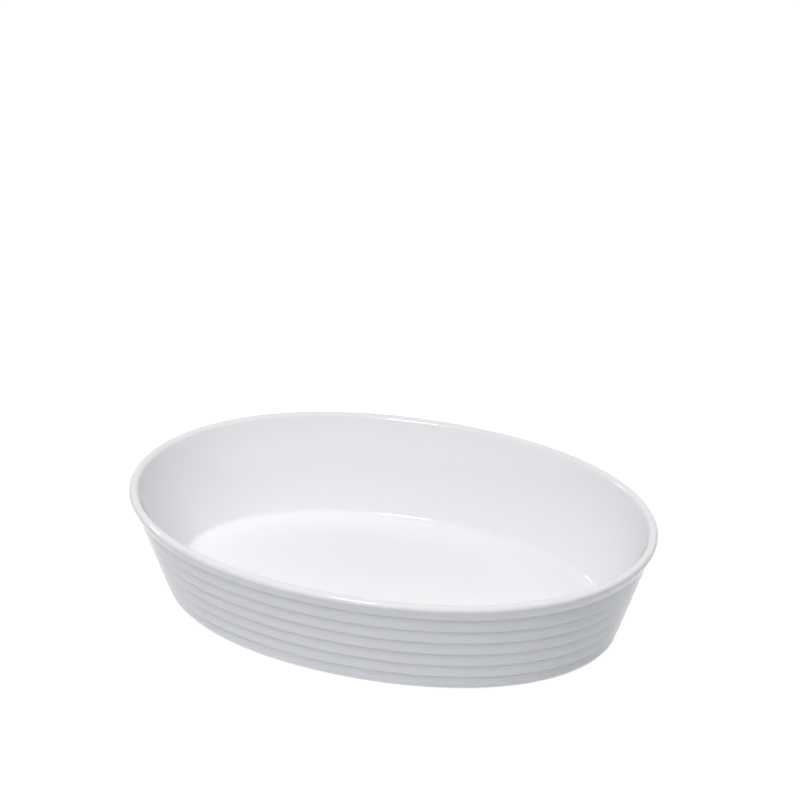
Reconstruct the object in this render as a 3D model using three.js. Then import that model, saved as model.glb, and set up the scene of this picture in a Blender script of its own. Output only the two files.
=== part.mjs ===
// Oval baking dish: one piece of glazed porcelain with a rounded rim, stepped bands round the
// outside of its wall, and a foot ring under its floor.
// Millimetres, +Z up. The origin is on the table under the middle of the dish, and X is its length.
import * as THREE from "three";

// Overall sizes, over the rim
const LENGTH = 240;
const WIDTH = 160;
const HEIGHT = 52.5;
// How far the oval stands out past a true ellipse at its four shoulders
const SHOULDER_SWELL = 1.3;

// Wall: how far each side leans from upright. The inside leans more, so the wall thickens downward
const INSIDE_LEAN = THREE.MathUtils.degToRad(19.3);
const OUTSIDE_LEAN = THREE.MathUtils.degToRad(17);

// Rim: a full round on top, over a smooth band that overhangs the stepped wall
const RIM_THICKNESS = 4.8;
const RIM_HEIGHT = 6.8;
const RIM_LEAN = THREE.MathUtils.degToRad(18);
const RIM_EDGE_RADIUS = 1.4;
const RIM_OVERHANG = 3.2;

// Stepped bands: each overhangs the next one down, and the lowest stands on the foot band
const STEPPED_BANDS = 5;
const BAND_PITCH = 7.1;
const BAND_STEP = 1;
const BAND_EDGE_RADIUS = 0.7;
const FOOT_BAND_HEIGHT = 9.3;

// Floor and foot ring
const FLOOR_THICKNESS = 5.5;
const FLOOR_CORNER_RADIUS = 6;
const FOOT_HEIGHT = 2;
const FOOT_WIDTH = 8;
const FOOT_EDGE_RADIUS = 5.4;
const FOOT_INNER_RADIUS = 0.9;
const FOOT_INNER_LEAN = THREE.MathUtils.degToRad(30);

// Fineness: stations round the oval, and steps along each round of the profile
const STATIONS = 72;
const LARGE_ROUND_STEPS = 6;
const SMALL_ROUND_STEPS = 3;
// The most of a straight stretch that the round at one of its ends may take up
const ROUND_SHARE = 0.9;

const PORCELAIN_WHITE = 0xf3f4f7;

// The rim's outline seen from above: an ellipse that swells a little at its four shoulders. It
// repeats every whole turn, so a point can be asked for past either end.
class RimOval extends THREE.Curve {
  getPoint(t, target = new THREE.Vector2()) {
    const turn = 2 * Math.PI * t;
    const normal = new THREE.Vector2(Math.cos(turn) / LENGTH, Math.sin(turn) / WIDTH).normalize();
    const swell = SHOULDER_SWELL * Math.sin(2 * turn) ** 2;
    target.set((LENGTH / 2) * Math.cos(turn), (WIDTH / 2) * Math.sin(turn));
    return target.addScaledVector(normal, swell);
  }

  getOutwardNormal(t) {
    const nearby = 1e-4;
    const along = this.getPoint(t + nearby).sub(this.getPoint(t - nearby));
    return new THREE.Vector2(along.y, -along.x).normalize();
  }
}

// Points along an arc of the profile, its two ends included.
function arc(centre, radius, startAngle, endAngle, steps) {
  const clockwise = endAngle < startAngle;
  const curve = new THREE.EllipseCurve(
    centre.x, centre.y, radius, radius, startAngle, endAngle, clockwise,
  );
  return curve.getPoints(steps);
}

// Points of the round that takes the place of a corner between two straight stretches. The round
// is never wider than those stretches leave room for.
function roundedCorner(before, corner, after, wantedRadius, steps) {
  const back = before.clone().sub(corner);
  const on = after.clone().sub(corner);
  const room = ROUND_SHARE * Math.min(back.length(), on.length());
  back.normalize();
  on.normalize();
  const halfAngle = Math.acos(back.dot(on)) / 2;
  const radius = Math.min(wantedRadius, room * Math.tan(halfAngle));
  const middle = back.clone().add(on).normalize();
  const centre = corner.clone().addScaledVector(middle, radius / Math.sin(halfAngle));
  const start = corner.clone().addScaledVector(back, radius / Math.tan(halfAngle));
  const startAngle = start.sub(centre).angle();
  const turn = Math.PI - 2 * halfAngle;
  const swept = back.cross(on) < 0 ? turn : -turn;
  return arc(centre, radius, startAngle, startAngle + swept, steps);
}

const point = (out, height) => new THREE.Vector2(out, height);

// The dish's section, in a plane square to the rim's outline. Its first axis is the distance
// outward from that outline, and its second is the height. It runs from the edge of the flat floor
// up the inside, over the rim, down the bands and under the foot to the edge of the flat underside.
function dishSection() {
  const lipRadius = RIM_THICKNESS / 2;
  const lipCentre = point(-lipRadius, HEIGHT - lipRadius);
  const floorHeight = FOOT_HEIGHT + FLOOR_THICKNESS;
  const rimBottom = HEIGHT - RIM_HEIGHT;

  const lipToInside = point(-Math.cos(INSIDE_LEAN), Math.sin(INSIDE_LEAN));
  const insideTop = lipCentre.clone().addScaledVector(lipToInside, lipRadius);
  const floorOut = insideTop.x - (insideTop.y - floorHeight) * Math.tan(INSIDE_LEAN);
  const grooveAt = (height) =>
    point(-RIM_OVERHANG - (rimBottom - height) * Math.tan(OUTSIDE_LEAN), height);

  const lipToRimFace = point(Math.cos(RIM_LEAN), -Math.sin(RIM_LEAN));
  const rimFaceTop = lipCentre.clone().addScaledVector(lipToRimFace, lipRadius);
  const rimEdgeOut = rimFaceTop.x - (rimFaceTop.y - rimBottom) * Math.tan(RIM_LEAN);

  const floorCorner = point(floorOut, floorHeight);
  const floorMiddle = point(floorCorner.x - LENGTH, floorHeight);
  const inside = roundedCorner(
    floorMiddle, floorCorner, insideTop, FLOOR_CORNER_RADIUS, LARGE_ROUND_STEPS,
  );
  const lipOver = [
    ...arc(lipCentre, lipRadius, Math.PI - INSIDE_LEAN, Math.PI / 2, LARGE_ROUND_STEPS),
    ...arc(lipCentre, lipRadius, Math.PI / 2, 0, LARGE_ROUND_STEPS).slice(1),
    rimFaceTop,
  ];

  // The rim's lower edge, then each band from the groove over it to its own lower edge
  let groove = grooveAt(rimBottom);
  const bands = roundedCorner(
    rimFaceTop, point(rimEdgeOut, rimBottom), groove, RIM_EDGE_RADIUS, SMALL_ROUND_STEPS,
  );
  for (let band = 1; band <= STEPPED_BANDS; band += 1) {
    const nextGroove = grooveAt(FOOT_BAND_HEIGHT + (STEPPED_BANDS - band) * BAND_PITCH);
    const edge = point(nextGroove.x + BAND_STEP, nextGroove.y);
    bands.push(groove);
    bands.push(...roundedCorner(groove, edge, nextGroove, BAND_EDGE_RADIUS, SMALL_ROUND_STEPS));
    groove = nextGroove;
  }

  // The foot band is parallel to the bands above it
  const bandSlope = Math.tan(OUTSIDE_LEAN) - BAND_STEP / BAND_PITCH;
  const footOuter = point(groove.x - FOOT_BAND_HEIGHT * bandSlope, 0);
  const footInner = point(footOuter.x - FOOT_WIDTH, 0);
  const recessCorner = point(footInner.x - FOOT_HEIGHT * Math.tan(FOOT_INNER_LEAN), FOOT_HEIGHT);
  const recessMiddle = point(recessCorner.x - LENGTH, FOOT_HEIGHT);
  const foot = [
    groove,
    ...roundedCorner(groove, footOuter, footInner, FOOT_EDGE_RADIUS, LARGE_ROUND_STEPS),
    ...roundedCorner(footOuter, footInner, recessCorner, FOOT_INNER_RADIUS, SMALL_ROUND_STEPS),
    ...roundedCorner(footInner, recessCorner, recessMiddle, FOOT_INNER_RADIUS, SMALL_ROUND_STEPS),
  ];
  return [...inside, ...lipOver, ...bands, ...foot];
}

// A section carried round the oval, each point of it square to the outline, and closed by a flat
// fan over the floor and another under it.
function carriedRound(oval, section, stations) {
  const positions = [];
  for (let station = 0; station < stations; station += 1) {
    const onRim = oval.getPoint(station / stations);
    const outward = oval.getOutwardNormal(station / stations);
    for (const { x: out, y: height } of section) {
      positions.push(onRim.x + outward.x * out, onRim.y + outward.y * out, height);
    }
  }
  const floorCentre = positions.length / 3;
  positions.push(0, 0, section[0].y);
  const undersideCentre = floorCentre + 1;
  positions.push(0, 0, section[section.length - 1].y);

  const triangles = [];
  const last = section.length - 1;
  for (let station = 0; station < stations; station += 1) {
    const here = station * section.length;
    const next = ((station + 1) % stations) * section.length;
    triangles.push(floorCentre, here, next);
    for (let i = 0; i < last; i += 1) {
      triangles.push(here + i, here + i + 1, next + i);
      triangles.push(here + i + 1, next + i + 1, next + i);
    }
    triangles.push(undersideCentre, next + last, here + last);
  }
  const geometry = new THREE.BufferGeometry();
  geometry.setAttribute("position", new THREE.Float32BufferAttribute(positions, 3));
  geometry.setIndex(triangles);
  geometry.computeVertexNormals();
  return geometry;
}

const glazedPorcelain = new THREE.MeshStandardMaterial({
  color: PORCELAIN_WHITE,
  roughness: 0.12,
  metalness: 0,
});

const dish = new THREE.Mesh(
  carriedRound(new RimOval(), dishSection(), STATIONS),
  glazedPorcelain,
);
dish.name = "porcelain_dish";

const ovalBakingDish = new THREE.Group();
ovalBakingDish.add(dish);

export default ovalBakingDish;
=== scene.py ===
# %% [markdown]
# An oval baking dish in white glazed porcelain.
# The real dish is a single casting: liquid clay sets in a mould, the mould's steps leave bands
# round the outside, and a clear glaze is melted over the whole of it. This lesson makes its
# surface with numpy, its glaze with shader nodes, and lights it as a small product studio would.

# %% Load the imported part
import bpy
import numpy as np
from mathutils import Matrix, Vector


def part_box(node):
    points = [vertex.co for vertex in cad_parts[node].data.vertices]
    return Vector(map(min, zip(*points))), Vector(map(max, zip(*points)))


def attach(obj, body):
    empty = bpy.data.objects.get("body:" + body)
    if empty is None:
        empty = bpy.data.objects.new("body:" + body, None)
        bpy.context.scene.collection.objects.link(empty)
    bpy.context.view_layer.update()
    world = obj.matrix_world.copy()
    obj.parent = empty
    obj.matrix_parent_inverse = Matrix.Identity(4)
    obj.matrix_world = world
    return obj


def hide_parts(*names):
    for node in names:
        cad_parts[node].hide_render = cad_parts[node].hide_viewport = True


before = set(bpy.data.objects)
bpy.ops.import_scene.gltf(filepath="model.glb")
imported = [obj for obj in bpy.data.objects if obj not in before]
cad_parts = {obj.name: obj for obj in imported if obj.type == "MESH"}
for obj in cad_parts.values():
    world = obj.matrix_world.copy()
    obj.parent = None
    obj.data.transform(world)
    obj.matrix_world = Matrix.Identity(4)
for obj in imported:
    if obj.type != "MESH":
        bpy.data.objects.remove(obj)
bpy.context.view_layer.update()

MM = 0.001
DISH_NODE = "porcelain_dish"
low, high = (np.array(corner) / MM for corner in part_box(DISH_NODE))
length, width, height = high - low
print(f"dish: {length:.1f} x {width:.1f} x {height:.1f} mm")

# %% [markdown]
# The rim's outline from above is an oval. An ellipse is close, but the real one is a little fuller
# at its four shoulders. So the outline is an ellipse pushed outward along its own normal by a
# swell that is nothing at the ends and sides and greatest between them. A numpy array of angles
# gives the whole outline at once, with the direction that faces outward at each point.

# %% The rim's oval
SHOULDER_SWELL = 1.3
STATIONS = 336


def ellipse_with_swell(angle):
    """Ellipse (a cos t, b sin t), moved along its unit normal by swell times sin squared of 2t."""
    cos, sin = np.cos(angle), np.sin(angle)
    normal = np.stack([cos / length, sin / width], axis=-1)
    normal /= np.linalg.norm(normal, axis=-1, keepdims=True)
    swell = SHOULDER_SWELL * np.sin(2 * angle) ** 2
    return np.stack([length / 2 * cos, width / 2 * sin], axis=-1) + normal * swell[..., None]


def outward_normals(angle, nearby=1e-4):
    """The tangent, from two nearby points of the oval, turned a quarter turn to face outward."""
    along = ellipse_with_swell(angle + nearby) - ellipse_with_swell(angle - nearby)
    along /= np.linalg.norm(along, axis=-1, keepdims=True)
    return np.stack([along[..., 1], -along[..., 0]], axis=-1)


station_angles = np.linspace(0, 2 * np.pi, STATIONS, endpoint=False)
rim_points = ellipse_with_swell(station_angles)
rim_normals = outward_normals(station_angles)
rim_length = np.linalg.norm(np.roll(rim_points, -1, axis=0) - rim_points, axis=1).sum()
print(f"rim: {STATIONS} stations round {rim_length:.0f} mm")

# %% [markdown]
# A potter's template is a section: the line that a cut through the wall would show. Ours runs from
# the flat floor up the inside, over the rim, down the bands and under the foot. It is drawn with
# straight stretches and rounds, and each round is an arc that touches the two lines beside it.

# %% Rounds for the section
ROUND_POINTS = 24


def arc(centre, radius, start, end):
    """Points of a circle's arc between two angles: centre plus radius times (cos, sin)."""
    angle = np.linspace(start, end, ROUND_POINTS)
    return centre + radius * np.stack([np.cos(angle), np.sin(angle)], axis=-1)


def rounded(before, corner, after, radius):
    """The arc inside a corner: its centre is on the bisector, radius / sin(half angle) away."""
    back, on = ((end - corner) / np.linalg.norm(end - corner) for end in (before, after))
    half = np.arccos(back @ on) / 2
    centre = corner + (back + on) / np.linalg.norm(back + on) * radius / np.sin(half)
    start_x, start_y = corner + back * radius / np.tan(half) - centre
    start = np.arctan2(start_y, start_x)
    turn = np.pi - 2 * half
    swept = turn if back[0] * on[1] - back[1] * on[0] < 0 else -turn
    return arc(centre, radius, start, start + swept)


# %% [markdown]
# The sizes below are the dish's own, in millimetres. The wall leans out by about a fifth of a
# right angle, as a mould needs to let the casting go, and more inside than outside, so it thickens
# towards the foot. The rim is rounded more tightly outside than inside. Every band overhangs the
# next one down by a millimetre, and those overhangs draw the fine dark lines round the outside,
# helped by painted shade from the darker pooled white in each groove.

# %% The section of the clay
INSIDE_LEAN = np.radians(18.7)
OUTSIDE_LEAN = np.radians(17)
RIM_THICKNESS = 4.2
RIM_OUTER_RADIUS = 1.7
RIM_HEIGHT = 7.3
RIM_LEAN = np.radians(24)
RIM_EDGE_RADIUS = 1.0
RIM_OVERHANG = 3.4
STEPPED_BANDS = 5
BAND_PITCH = 7.1
BAND_STEP = 1.0
BAND_EDGE_RADIUS = 0.5
FOOT_BAND_HEIGHT = 9.3
FLOOR_HEIGHT = 7.5
FLOOR_CORNER_RADIUS = 2.8
FOOT_HEIGHT = 2.0
FOOT_WIDTH = 8.0
FOOT_EDGE_RADIUS = 5.4
FOOT_INNER_RADIUS = 0.9
FOOT_INNER_LEAN = np.radians(30)
FLAT_MARGIN = 5.0


def point(out, up):
    """A point of the section: millimetres outward from the rim's outline, and height."""
    return np.array([out, up], dtype=float)


def clay_section():
    """Straight stretches and rounds, from the flat floor over the rim to the flat underside."""
    further_in = point(-length / 4, 0)
    lip_radius = RIM_THICKNESS / 2
    lip_centre = point(-lip_radius, height - lip_radius)
    outer_centre = point(-RIM_OUTER_RADIUS, height - RIM_OUTER_RADIUS)
    rim_bottom = height - RIM_HEIGHT
    inside_top = lip_centre + lip_radius * point(-np.cos(INSIDE_LEAN), np.sin(INSIDE_LEAN))
    rim_face_top = outer_centre + RIM_OUTER_RADIUS * point(np.cos(RIM_LEAN), -np.sin(RIM_LEAN))

    floor_out = inside_top[0] - (inside_top[1] - FLOOR_HEIGHT) * np.tan(INSIDE_LEAN)
    floor_corner = point(floor_out, FLOOR_HEIGHT)
    floor_middle = floor_corner + further_in
    floor_round = rounded(floor_middle, floor_corner, inside_top, FLOOR_CORNER_RADIUS)
    lip_inside = arc(lip_centre, lip_radius, np.pi - INSIDE_LEAN, np.pi / 2)
    lip_outside = arc(outer_centre, RIM_OUTER_RADIUS, np.pi / 2, -RIM_LEAN)

    band_tops = FOOT_BAND_HEIGHT + BAND_PITCH * np.arange(STEPPED_BANDS - 1, -1, -1)
    groove_ups = np.append(rim_bottom, band_tops)
    groove_outs = -RIM_OVERHANG - (rim_bottom - groove_ups) * np.tan(OUTSIDE_LEAN)
    grooves = np.stack([groove_outs, groove_ups], axis=-1)
    rim_edge_out = rim_face_top[0] - (rim_face_top[1] - rim_bottom) * np.tan(RIM_LEAN)
    rim_edge = point(rim_edge_out, rim_bottom)
    stretches = [floor_round[:1] - point(FLAT_MARGIN, 0), floor_round, lip_inside, lip_outside]
    stretches.append(rounded(rim_face_top, rim_edge, grooves[0], RIM_EDGE_RADIUS))
    for groove, next_groove in zip(grooves, grooves[1:]):
        edge = next_groove + point(BAND_STEP, 0)
        stretches += [groove[None], rounded(groove, edge, next_groove, BAND_EDGE_RADIUS)]

    band_lean = np.tan(OUTSIDE_LEAN) - BAND_STEP / BAND_PITCH
    foot_outer = point(grooves[-1][0] - FOOT_BAND_HEIGHT * band_lean, 0)
    foot_inner = foot_outer - point(FOOT_WIDTH, 0)
    recess = foot_inner + point(-FOOT_HEIGHT * np.tan(FOOT_INNER_LEAN), FOOT_HEIGHT)
    underside = recess + further_in
    stretches += [
        grooves[-1][None],
        rounded(grooves[-1], foot_outer, foot_inner, FOOT_EDGE_RADIUS),
        rounded(foot_outer, foot_inner, recess, FOOT_INNER_RADIUS),
        rounded(foot_inner, recess, underside, FOOT_INNER_RADIUS),
    ]
    stretches.append(stretches[-1][-1:] - point(FLAT_MARGIN, 0))
    return np.concatenate(stretches)


clay = clay_section()
print(f"clay section: {len(clay)} points, {np.ptp(clay[:, 1]):.1f} mm high")

# %% [markdown]
# Molten glaze flows. It fills the sharp inner corner of each step and draws thin over its edge, so
# no corner on a glazed dish is crisp. Averaging the section along its own length with a bell curve
# does the same. The distance between clay and glaze is kept too: where it is positive the glaze
# has pooled, and the finish later darkens the white there, partly as pooled glaze and partly as
# painted shade in those inner corners.

# %% The glaze over the section
GLAZE_FLOW = 0.28
FINE_STEP = 0.04
BELL_REACH = 4


def along(line):
    """Length travelled along a line at each of its points."""
    return np.concatenate([[0], np.cumsum(np.linalg.norm(np.diff(line, axis=0), axis=1))])


def evenly(line, step):
    """The same line with points at an even step of its length."""
    travelled = along(line)
    wanted = np.linspace(0, travelled[-1], int(travelled[-1] / step))
    return np.stack([np.interp(wanted, travelled, line[:, axis]) for axis in (0, 1)], axis=-1)


def flowed(line, step, flow):
    """Each coordinate averaged along the line with a bell curve whose width is the glaze's flow."""
    reach = int(BELL_REACH * flow / step)
    bell = np.exp(-0.5 * (np.arange(-reach, reach + 1) * step / flow) ** 2)
    bell /= bell.sum()
    padded = np.pad(line, ((reach, reach), (0, 0)), mode="reflect", reflect_type="odd")
    return np.stack([np.convolve(padded[:, axis], bell, "valid") for axis in (0, 1)], axis=-1)


fine_clay = evenly(clay, FINE_STEP)
fine_glaze = flowed(fine_clay, FINE_STEP, GLAZE_FLOW)
tangent = np.gradient(fine_glaze, axis=0)
tangent /= np.linalg.norm(tangent, axis=1, keepdims=True)
facing = np.stack([-tangent[:, 1], tangent[:, 0]], axis=-1)
fine_pool = ((fine_glaze - fine_clay) * facing).sum(axis=1)
print(f"glaze: pools {fine_pool.max():.2f} mm deep, draws {-fine_pool.min():.2f} mm thin")

# %% [markdown]
# A mesh wants many points where the section turns and few where it runs straight. So the points
# are spread evenly over a mixture of the two: the length travelled and the angle turned.

# %% Points where the section turns
LONGEST_STEP = 2.2
SHARPEST_STEP = np.radians(8)

heading = np.unwrap(np.arctan2(tangent[:, 1], tangent[:, 0]))
turning = np.concatenate([[0], np.cumsum(np.abs(np.diff(heading)))])
spread = along(fine_glaze) / LONGEST_STEP + turning / SHARPEST_STEP
chosen = np.linspace(0, spread[-1], int(np.ceil(spread[-1])) + 1)
section = np.stack([np.interp(chosen, spread, fine_glaze[:, axis]) for axis in (0, 1)], axis=-1)
pool = np.interp(chosen, spread, fine_pool)
print(f"section: {len(section)} points")

# %% [markdown]
# Now the section is carried round the oval. Each of its points moves outward from the rim's
# outline along that station's normal, so every ring is parallel to the rim and the wall has one
# thickness all round. An array with an axis for section points and another for stations holds
# every ring. The floor and the underside are closed by rings that shrink to a point in the middle.

# %% Carry the section round the oval
FLAT_RINGS = 10

out, up = section[:, 0], section[:, 1]
plan = rim_points[None] + out[:, None, None] * rim_normals[None]
walls = np.concatenate([plan, np.broadcast_to(up[:, None, None], plan.shape[:2] + (1,))], axis=-1)


def flat_rings(edge_ring):
    """Rings inside an edge ring: the edge's x and y times a share that grows from 0 to 1."""
    share = np.linspace(0, 1, FLAT_RINGS + 1)[1:-1, None, None]
    return edge_ring[None] * np.concatenate([share, share, np.ones_like(share)], axis=-1)


floor_rings = flat_rings(walls[0])
underside_rings = flat_rings(walls[-1])[::-1]
rings = np.concatenate([floor_rings, walls, underside_rings]) * MM
pool_by_ring = np.concatenate([np.zeros(len(floor_rings)), pool, np.zeros(len(underside_rings))])
print(f"dish: {rings.shape[0]} rings of {rings.shape[1]} points")

# %% [markdown]
# A mesh is a list of points and a list of faces that name them. Two neighbouring points on a ring
# and the two beside them on the next ring make a face, and numpy numbers them all at once by
# shifting each ring by one station. The first and last rings close on a point in the middle, so
# there is no hole. The depth of the pooled glaze goes along as an attribute, one number for each
# point.

# %% Make the mesh
def closed_rings_mesh(name, rings):
    """Quads between neighbouring rings, and a fan to the middle of the first and last ring."""
    count, stations = rings.shape[:2]
    index = np.arange(count * stations).reshape(count, stations)
    ahead = np.roll(index, -1, axis=1)
    quads = np.stack([index[:-1], index[1:], ahead[1:], ahead[:-1]], axis=-1).reshape(-1, 4)
    first, last = count * stations, count * stations + 1
    first_fan = np.stack([np.full(stations, first), index[0], ahead[0]], axis=-1)
    last_fan = np.stack([np.full(stations, last), ahead[-1], index[-1]], axis=-1)
    middles = np.stack([rings[0].mean(axis=0), rings[-1].mean(axis=0)])
    points = np.concatenate([rings.reshape(-1, 3), middles])
    mesh = bpy.data.meshes.new(name)
    mesh.from_pydata(points.tolist(), [], quads.tolist() + first_fan.tolist() + last_fan.tolist())
    mesh.shade_smooth()
    return mesh


mesh = closed_rings_mesh("glazed_dish", rings)
glazed_dish = bpy.data.objects.new("glazed_dish", mesh)
bpy.context.scene.collection.objects.link(glazed_dish)
# The depth of the pooled glaze also masks the painted shade that darkens the inner corners.
pool_and_shade_attribute = mesh.attributes.new("glaze_pool_and_crease_shade", "FLOAT", "POINT")
pool_by_point = np.append(np.repeat(pool_by_ring, STATIONS), [0, 0])
pool_and_shade_attribute.data.foreach_set("value", pool_by_point.astype(np.float32))
print(f"mesh: {len(mesh.vertices)} points, {len(mesh.polygons)} faces")

# %% [markdown]
# Colours are written as sRGB hex values, as a screen shows them. Shaders work in linear
# light, and one function converts them. A second small function adds a node, sets its values and
# links what feeds it, which keeps each material short enough to read.

# %% Helpers for materials
def linear(hex_colour):
    """sRGB hex to linear RGBA: each channel through the standard sRGB curve."""
    srgb = np.array([int(hex_colour[i:i + 2], 16) for i in (1, 3, 5)]) / 255
    rgb = np.where(srgb <= 0.04045, srgb / 12.92, ((srgb + 0.055) / 1.055) ** 2.4)
    return (*rgb, 1.0)


def add(tree, kind, inputs=(), **settings):
    """A node of one kind with its settings. An input is a value, or the socket that feeds it."""
    node = tree.nodes.new(kind)
    for name, value in settings.items():
        setattr(node, name, value)
    for name, value in dict(inputs).items():
        if isinstance(value, bpy.types.NodeSocket):
            tree.links.new(value, node.inputs[name])
        else:
            node.inputs[name].default_value = value
    return node


def new_material(name):
    """An empty node tree with an output, ready for a shader."""
    material = bpy.data.materials.new(name)
    material.use_nodes = True
    material.node_tree.nodes.clear()
    return material, material.node_tree, add(material.node_tree, "ShaderNodeOutputMaterial")


# %% [markdown]
# Feldspar glaze on white porcelain is a clear glass about a fifth of a millimetre thick. It gives
# the eye three things: a sharp reflection, a white that is a little cool where the glaze has
# pooled in a step and a little warmer where it is thin on an edge, and a faint unevenness, because
# melted glaze never lies quite flat. The pooled white is much darker than pooled glaze alone, so it
# is also painted shade in every inner corner: the grooves under the bands and the floor's corner.
# The pooling comes from the mesh, and glaze that lies even keeps to the white in the middle of the
# ramp. The unevenness comes from noise at real sizes.

# %% Glazed porcelain
GLAZE_WHITE = "#F7F6F9"
# The pooled grey is darker than pooled glaze: it also paints shade into the grooves and corners.
POOLED_GLAZE_AND_CREASE_SHADE = "#CFD0D8"
THIN_WHITE = "#F6F5F5"
POOL_RANGE = 0.12
EVEN_GLAZE = (0.5, 0.6)
GLAZE_IOR = 1.52
GLAZE_ROUGHNESS = (0.05, 0.09)
WAVE_SIZE = 22.0
WAVE_DEPTH = 0.02
WAVE_DETAIL = 1.0
WAVE_RANGE = (0.3, 0.7)
PEEL_SIZE = 2.6
PEEL_DEPTH = 0.0012
PEEL_DETAIL = 2.0


def glazed_porcelain():
    """Glass over white clay, darker where the glaze pools, partly as painted shade, and made uneven
    by two sizes of noise.
    """
    material, tree, output = new_material("glazed_porcelain")
    place = add(tree, "ShaderNodeTexCoord").outputs["Object"]
    pool_and_crease_shade = add(tree, "ShaderNodeAttribute", attribute_name="glaze_pool_and_crease_shade").outputs["Fac"]
    tint = add(tree, "ShaderNodeValToRGB", {
        "Fac": add(tree, "ShaderNodeMapRange", {
            "Value": pool_and_crease_shade, "From Min": -POOL_RANGE, "From Max": POOL_RANGE}).outputs["Result"]})
    # The pooled end of the ramp darkens every inner corner: pooled glaze and painted shade.
    for stop, colour in zip(tint.color_ramp.elements, (THIN_WHITE, POOLED_GLAZE_AND_CREASE_SHADE)):
        stop.color = linear(colour)
    for position in EVEN_GLAZE:
        tint.color_ramp.elements.new(position).color = linear(GLAZE_WHITE)
    waves = add(tree, "ShaderNodeTexNoise", {
        "Vector": place, "Scale": 1 / (WAVE_SIZE * MM), "Detail": WAVE_DETAIL})
    peel = add(tree, "ShaderNodeTexNoise", {
        "Vector": place, "Scale": 1 / (PEEL_SIZE * MM), "Detail": PEEL_DETAIL})
    wavy = add(tree, "ShaderNodeBump", {
        "Height": waves.outputs["Fac"], "Distance": WAVE_DEPTH * MM, "Strength": 1.0})
    uneven = add(tree, "ShaderNodeBump", {
        "Height": peel.outputs["Fac"], "Distance": PEEL_DEPTH * MM, "Strength": 1.0,
        "Normal": wavy.outputs["Normal"]})
    gloss = add(tree, "ShaderNodeMapRange", {
        "Value": waves.outputs["Fac"], "From Min": WAVE_RANGE[0], "From Max": WAVE_RANGE[1],
        "To Min": GLAZE_ROUGHNESS[0], "To Max": GLAZE_ROUGHNESS[1]})
    shader = add(tree, "ShaderNodeBsdfPrincipled", {
        "Base Color": tint.outputs["Color"], "Roughness": gloss.outputs["Result"],
        "IOR": GLAZE_IOR, "Normal": uneven.outputs["Normal"]})
    tree.links.new(shader.outputs["BSDF"], output.inputs["Surface"])
    return material


# %% [markdown]
# Before firing, the glaze is wiped off the flat of the foot ring, or it would weld the dish to the
# kiln shelf. What shows there is bare porcelain: matt, a shade warmer, and as fine as eggshell to
# the touch. Its grit is drawn a little coarser than it is, so that a close view shows it.

# %% Bare porcelain on the foot ring
BARE_WHITE = ("#E4DFD6", "#EFEBE4")
BARE_ROUGHNESS = 0.72
GRIT_SIZE = 0.35
GRIT_DEPTH = 0.02
GRIT_DETAIL = 3.0
WIPED_HEIGHT = 0.3


def bare_porcelain():
    """Matt fired clay: fine noise for the grit's colour and its height."""
    material, tree, output = new_material("bare_porcelain")
    place = add(tree, "ShaderNodeTexCoord").outputs["Object"]
    grit = add(tree, "ShaderNodeTexNoise", {
        "Vector": place, "Scale": 1 / (GRIT_SIZE * MM), "Detail": GRIT_DETAIL})
    tint = add(tree, "ShaderNodeValToRGB", {"Fac": grit.outputs["Fac"]})
    for stop, colour in zip(tint.color_ramp.elements, BARE_WHITE):
        stop.color = linear(colour)
    rough = add(tree, "ShaderNodeBump", {
        "Height": grit.outputs["Fac"], "Distance": GRIT_DEPTH * MM, "Strength": 1.0})
    shader = add(tree, "ShaderNodeBsdfPrincipled", {
        "Base Color": tint.outputs["Color"], "Roughness": BARE_ROUGHNESS,
        "Normal": rough.outputs["Normal"]})
    tree.links.new(shader.outputs["BSDF"], output.inputs["Surface"])
    return material


# %% [markdown]
# Now the dish gets its two finishes. Every face takes the glaze, apart from those in the lowest
# few tenths of a millimetre, which are the flat of the foot ring.

# %% Dress the dish
for material in (glazed_porcelain(), bare_porcelain()):
    mesh.materials.append(material)
centres = np.empty(len(mesh.polygons) * 3)
mesh.polygons.foreach_get("center", centres)
is_bare = centres.reshape(-1, 3)[:, 2] < WIPED_HEIGHT * MM
mesh.polygons.foreach_set("material_index", is_bare.astype(np.int32))
mesh.update()

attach(glazed_dish, "root")
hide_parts(DISH_NODE)
print(f"bare foot ring: {is_bare.sum()} faces")

# %% [markdown]
# The camera stands just over a metre off, in front and to the right, and looks down at nearly
# thirty degrees through a long lens, which keeps the oval from stretching. The dish sits low in
# the frame because the camera aims above it: its place is written as a distance back along the
# line of sight, and two small moves across that line.

# %% Camera
CAMERA_AZIMUTH, CAMERA_ELEVATION, CAMERA_ROLL = np.radians([18.16, 28.28, 0.22])
CAMERA_BACK = 1.1117
CAMERA_RIGHT = 0.00473
CAMERA_UP = 0.0918
FOCAL_PIXELS = 2455.4
PICTURE_PIXELS = 800
SENSOR_MM = 36.0


def direction(azimuth, elevation):
    """Unit vector from the dish towards a place: azimuth 0 is the front, and turns to the right."""
    across = np.cos(elevation)
    return np.array([np.sin(azimuth) * across, -np.cos(azimuth) * across, np.sin(elevation)])


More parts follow.
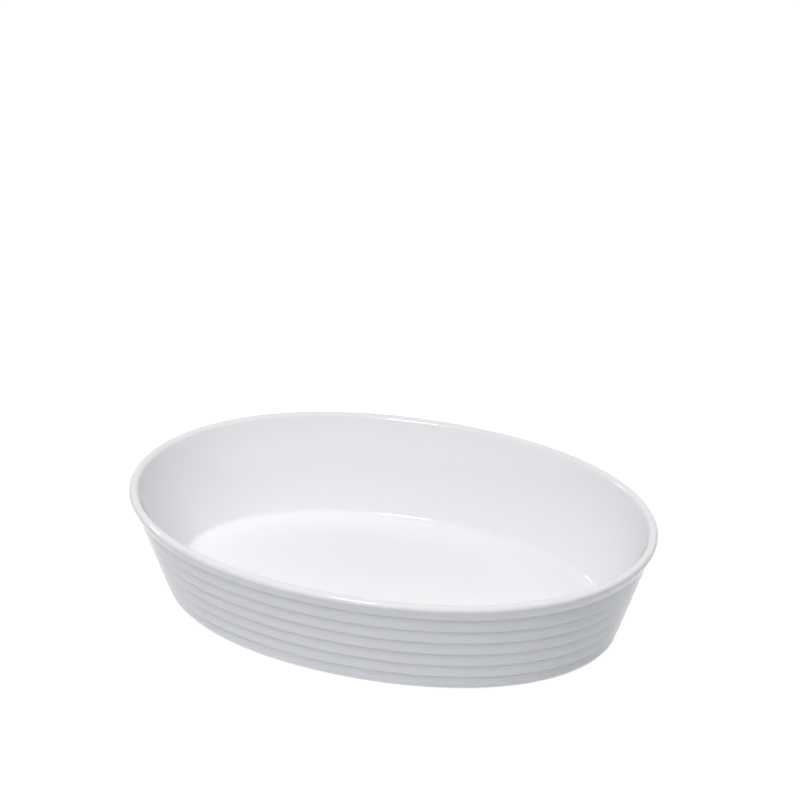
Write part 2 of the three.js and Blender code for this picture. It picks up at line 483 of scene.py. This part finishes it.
backward = direction(CAMERA_AZIMUTH, CAMERA_ELEVATION)
level = np.array([np.cos(CAMERA_AZIMUTH), np.sin(CAMERA_AZIMUTH), 0.0])
upright = np.cross(backward, level)
right = np.cos(CAMERA_ROLL) * level + np.sin(CAMERA_ROLL) * upright
top = np.cos(CAMERA_ROLL) * upright - np.sin(CAMERA_ROLL) * level
stand = CAMERA_BACK * backward + CAMERA_RIGHT * right + CAMERA_UP * top
lens = bpy.data.cameras.new("camera")
lens.sensor_width = SENSOR_MM
lens.lens = FOCAL_PIXELS / PICTURE_PIXELS * SENSOR_MM
camera = bpy.data.objects.new("camera", lens)
axes_and_place = np.column_stack([right, top, backward, stand])
camera.matrix_world = Matrix(np.vstack([axes_and_place, [0, 0, 0, 1]]))
bpy.context.scene.collection.objects.link(camera)
bpy.context.scene.camera = camera
print(f"camera: {lens.lens:.0f} mm lens at {np.linalg.norm(stand):.2f} m")

# %% [markdown]
# Glossy white things are lit by what they reflect, so the lamps are split by the work they do. A
# small softbox in front gives the shading its direction. Glint lamps are hidden from matt light,
# and only draw the bright streaks along the rim and the floor's corner. Soft panels are hidden
# from reflections: they light the white evenly, and leave no large pale patch in the glaze.

# %% Lamps
DISH_MIDDLE = Vector((0, 0, height / 2 * MM))
KEY_SOFTBOX = dict(azimuth=-15, elevation=47, distance=1.3, size=(0.21, 0.20), watts=3.1)
GLINTS = {
    "key_glint": dict(KEY_SOFTBOX, watts=4.0),
    "left_glint": dict(azimuth=-96, elevation=32, distance=1.3, size=(0.08, 0.12), watts=3.0),
}
SOFT_PANELS = {
    "front_panel": dict(azimuth=-8, elevation=64, distance=1.5, size=(1.2, 0.5), watts=13.6),
    "right_panel": dict(azimuth=110, elevation=50, distance=1.5, size=(0.5, 0.5), watts=3.6),
    "back_panel": dict(azimuth=180, elevation=38, distance=1.5, size=(1.0, 0.5), watts=3.6),
}


def area_lamp(name, azimuth, elevation, distance, size, watts):
    """A rectangular area lamp on a sphere round the dish, turned to face its middle."""
    lamp = bpy.data.lights.new(name, "AREA")
    lamp.shape = "RECTANGLE"
    lamp.size, lamp.size_y = size
    lamp.energy = watts
    holder = bpy.data.objects.new(name, lamp)
    aim = Vector(direction(np.radians(azimuth), np.radians(elevation)))
    holder.location = DISH_MIDDLE + aim * distance
    holder.rotation_euler = aim.to_track_quat("Z", "Y").to_euler()
    bpy.context.scene.collection.objects.link(holder)
    return holder


area_lamp("key_softbox", **KEY_SOFTBOX)
for name, settings in GLINTS.items():
    area_lamp(name, **settings).visible_diffuse = False
for name, settings in SOFT_PANELS.items():
    area_lamp(name, **settings).visible_glossy = False
print(f"lamps: key_softbox, {', '.join([*GLINTS, *SOFT_PANELS])}")

# %% [markdown]
# The dish stands on a white table in a white room. Rays from the camera, and those that bounce off
# the glaze, see the room at plain white. Rays that gather soft light see it black, so that all the
# shading comes from the lamps. The table glows for the camera and for reflections, and keeps the
# dish's soft shadow because part of its white is still lit. To soft light it is plain paint, a
# little cool, and what it throws back gives the outside of the dish its blue-grey.

# %% Table and room
ROOM_WHITE = "#FFFFFF"
TABLE_WHITE = "#E2E6E9"
TABLE_GLOW = 0.93
TABLE_LIT = 0.2
TABLE_REACH = 6.0


def seen_directly(tree):
    """1 for rays from the camera and for reflected or transmitted ones, and 0 for all others."""
    path = add(tree, "ShaderNodeLightPath")
    seen = path.outputs["Is Camera Ray"]
    for kind in ("Is Glossy Ray", "Is Transmission Ray"):
        either = add(tree, "ShaderNodeMath", operation="MAXIMUM")
        tree.links.new(seen, either.inputs[0])
        tree.links.new(path.outputs[kind], either.inputs[1])
        seen = either.outputs["Value"]
    return seen


room = bpy.data.worlds.new("white_room")
room.use_nodes = True
room.node_tree.nodes.clear()
sky = add(room.node_tree, "ShaderNodeBackground", {
    "Color": linear(ROOM_WHITE), "Strength": seen_directly(room.node_tree)})
room_output = add(room.node_tree, "ShaderNodeOutputWorld")
room.node_tree.links.new(sky.outputs["Background"], room_output.inputs["Surface"])
bpy.context.scene.world = room


def white_table():
    """Plain white paint, with a glow that only direct and reflected views of it see."""
    material, tree, output = new_material("white_table")
    paint = add(tree, "ShaderNodeBsdfDiffuse", {"Color": linear(TABLE_WHITE)})
    glow = add(tree, "ShaderNodeEmission", {"Strength": TABLE_GLOW})
    lit = add(tree, "ShaderNodeBsdfDiffuse", {"Color": (TABLE_LIT, TABLE_LIT, TABLE_LIT, 1.0)})
    bright = add(tree, "ShaderNodeAddShader")
    tree.links.new(glow.outputs["Emission"], bright.inputs[0])
    tree.links.new(lit.outputs["BSDF"], bright.inputs[1])
    mixed = add(tree, "ShaderNodeMixShader", {"Fac": seen_directly(tree)})
    tree.links.new(paint.outputs["BSDF"], mixed.inputs[1])
    tree.links.new(bright.outputs["Shader"], mixed.inputs[2])
    tree.links.new(mixed.outputs["Shader"], output.inputs["Surface"])
    return material


table_mesh = bpy.data.meshes.new("table")
corners = np.array([[-1, -1, 0], [1, -1, 0], [1, 1, 0], [-1, 1, 0]]) * TABLE_REACH
table_mesh.from_pydata(corners.tolist(), [], [[0, 1, 2, 3]])
table_mesh.materials.append(white_table())
table = bpy.data.objects.new("table", table_mesh)
bpy.context.scene.collection.objects.link(table)
bpy.context.scene.view_settings.view_transform = "Standard"
